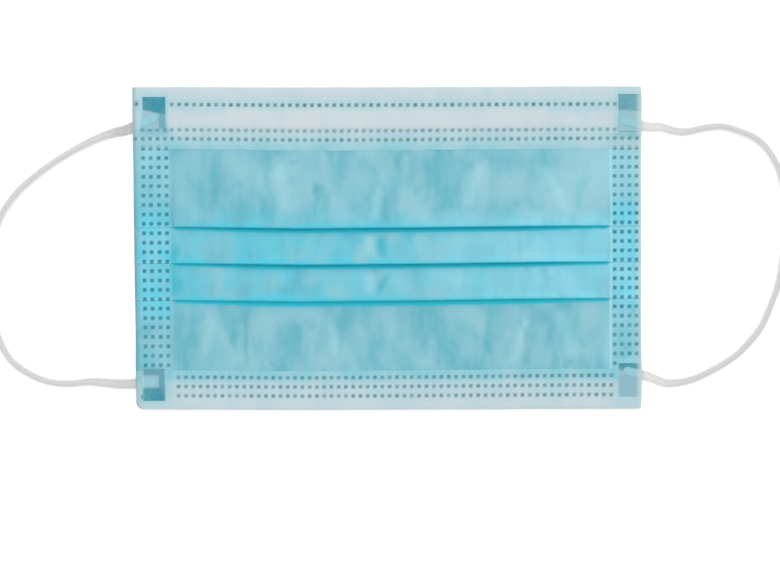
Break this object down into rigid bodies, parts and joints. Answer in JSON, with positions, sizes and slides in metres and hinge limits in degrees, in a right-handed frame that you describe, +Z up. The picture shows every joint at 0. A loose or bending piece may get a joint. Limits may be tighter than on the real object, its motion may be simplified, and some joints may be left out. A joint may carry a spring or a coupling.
{
  "type": "surgical face mask",
  "caption": "Pleated surgical face mask of blue and white nonwoven cloth, lying flat with its outer side up, with a nose wire in its top hem and round elastic ear loops.",
  "frame": {"origin": "middle of the cloth's outline, on the surface that the mask lies on, under its back", "axes": "+X along the mask's width, to the wearer's left; +Y towards the nose hem; +Z up, out of the outer side"},
  "size_m": [0.2767, 0.111, 0.0075],
  "materials": {
    "spunbond_blue": "matte point-bonded nonwoven, light blue",
    "spunbond_white": "matte point-bonded nonwoven, white",
    "melted_cloth": "satin, where the layers are melted together",
    "elastic_white": "soft knitted elastic, white",
    "wire_coating": "white plastic coating on a soft wire"
  },
  "bodies": {
    "root": {"outer_cover": "spunbond_blue", "inner_lining": "spunbond_white", "nose_wire": "wire_coating", "ear_loop_left": "elastic_white", "ear_loop_right": "elastic_white", "loop_weld_top_left": "melted_cloth", "loop_weld_bottom_left": "melted_cloth", "loop_weld_top_right": "melted_cloth", "loop_weld_bottom_right": "melted_cloth"}
  },
  "joints": []
}
